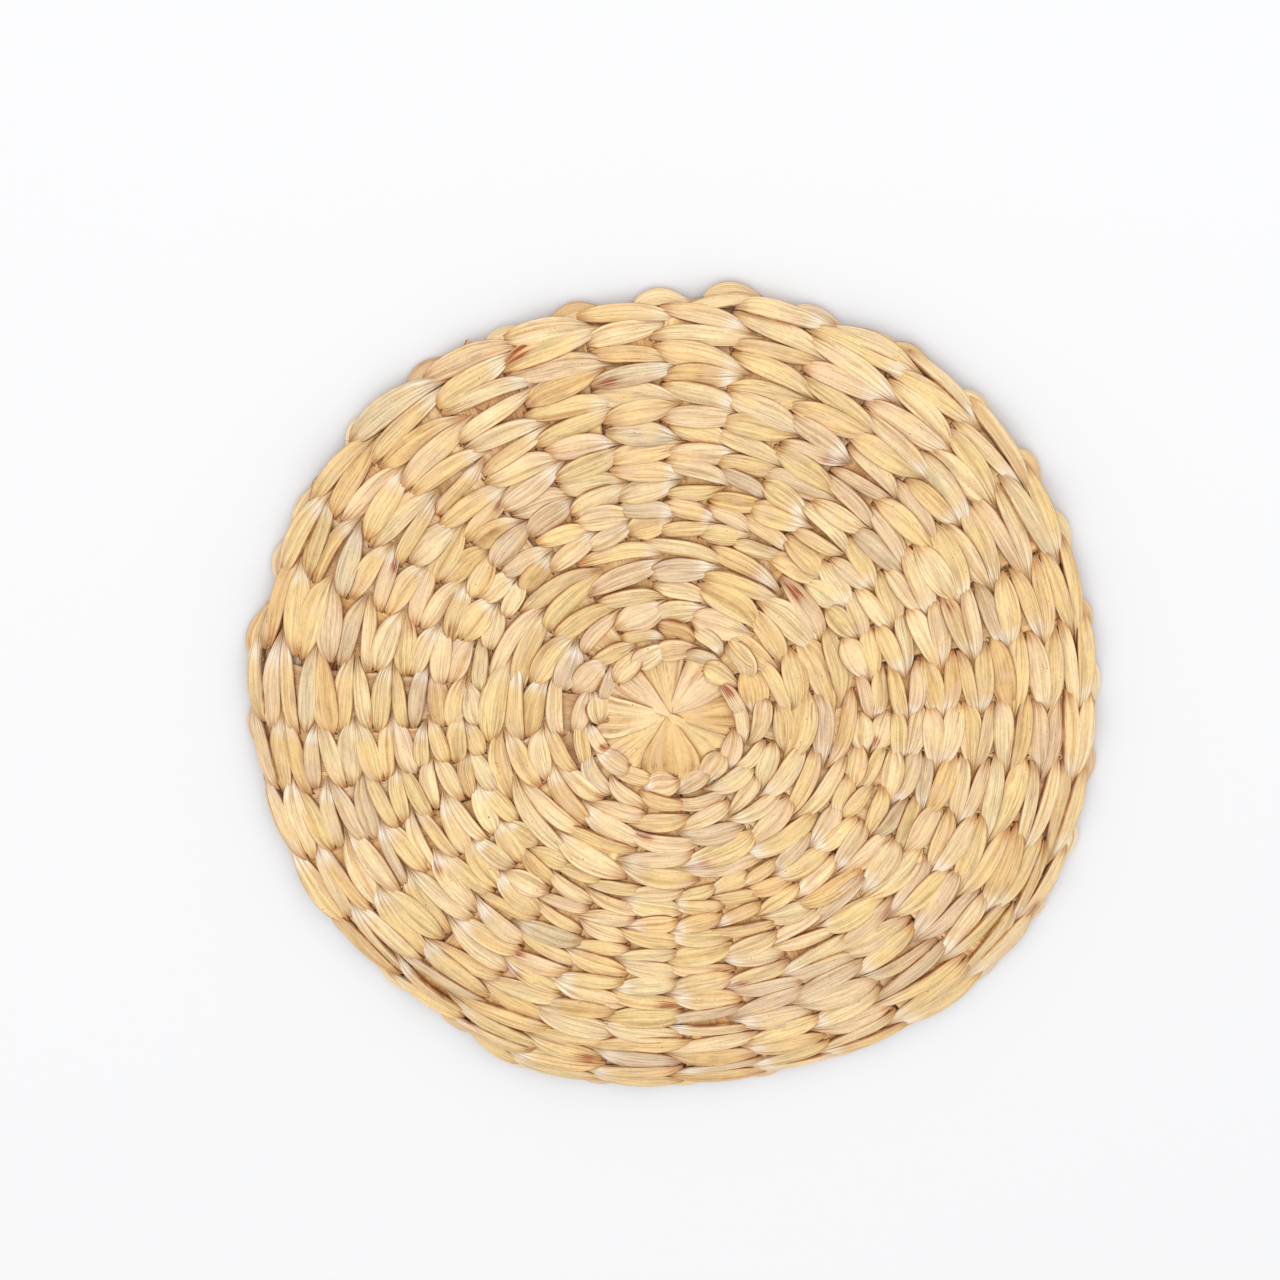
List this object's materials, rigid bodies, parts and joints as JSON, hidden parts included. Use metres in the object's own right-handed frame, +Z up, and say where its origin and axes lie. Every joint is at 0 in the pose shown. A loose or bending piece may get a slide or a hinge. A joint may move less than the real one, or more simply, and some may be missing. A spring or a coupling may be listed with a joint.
{
  "type": "chair seat pad",
  "caption": "Round chair seat pad twined from flat dried plant stems, with a star of wide strips at the centre, rings of leaf-shaped stitches and a rim that turns down.",
  "frame": {"origin": "middle of the plane that the pad rests on", "axes": "+Z up through the middle of the pad, +X along the first added spoke"},
  "size_m": [0.3698, 0.3698, 0.0265],
  "materials": {
    "centre_straw": "satin dried plant stem, pale gold",
    "spoke_straw": "satin dried plant stem, pale brown",
    "weft_straw": "satin dried plant stem, pale gold"
  },
  "bodies": {
    "root": {"centre_strip_1": "centre_straw", "centre_strip_2": "centre_straw", "centre_strip_3": "centre_straw", "centre_strip_4": "centre_straw", "added_spoke_01": "spoke_straw", "added_spoke_02": "spoke_straw", "added_spoke_03": "spoke_straw", "added_spoke_04": "spoke_straw", "added_spoke_05": "spoke_straw", "added_spoke_06": "spoke_straw", "added_spoke_07": "spoke_straw", "added_spoke_08": "spoke_straw", "added_spoke_09": "spoke_straw", "added_spoke_10": "spoke_straw", "added_spoke_11": "spoke_straw", "added_spoke_12": "spoke_straw", "added_spoke_13": "spoke_straw", "added_spoke_14": "spoke_straw", "added_spoke_15": "spoke_straw", "added_spoke_16": "spoke_straw", "weft_01_a": "weft_straw", "weft_01_b": "weft_straw", "weft_02_a": "weft_straw", "weft_02_b": "weft_straw", "weft_03_a": "weft_straw", "weft_03_b": "weft_straw", "weft_04_a": "weft_straw", "weft_04_b": "weft_straw", "weft_05_a": "weft_straw", "weft_05_b": "weft_straw", "weft_06_a": "weft_straw", "weft_06_b": "weft_straw", "weft_07_a": "weft_straw", "weft_07_b": "weft_straw", "weft_08_a": "weft_straw", "weft_08_b": "weft_straw", "weft_09_a": "weft_straw", "weft_09_b": "weft_straw", "weft_10_a": "weft_straw", "weft_10_b": "weft_straw", "weft_11_a": "weft_straw", "weft_11_b": "weft_straw", "weft_12_a": "weft_straw", "weft_12_b": "weft_straw", "weft_13_a": "weft_straw", "weft_13_b": "weft_straw", "weft_14_a": "weft_straw", "weft_14_b": "weft_straw", "weft_15_a": "weft_straw", "weft_15_b": "weft_straw", "weft_16_a": "weft_straw", "weft_16_b": "weft_straw", "weft_17_a": "weft_straw", "weft_17_b": "weft_straw", "weft_18_a": "weft_straw", "weft_18_b": "weft_straw", "weft_19_a": "weft_straw", "weft_19_b": "weft_straw", "weft_20_a": "weft_straw", "weft_20_b": "weft_straw"}
  },
  "joints": []
}
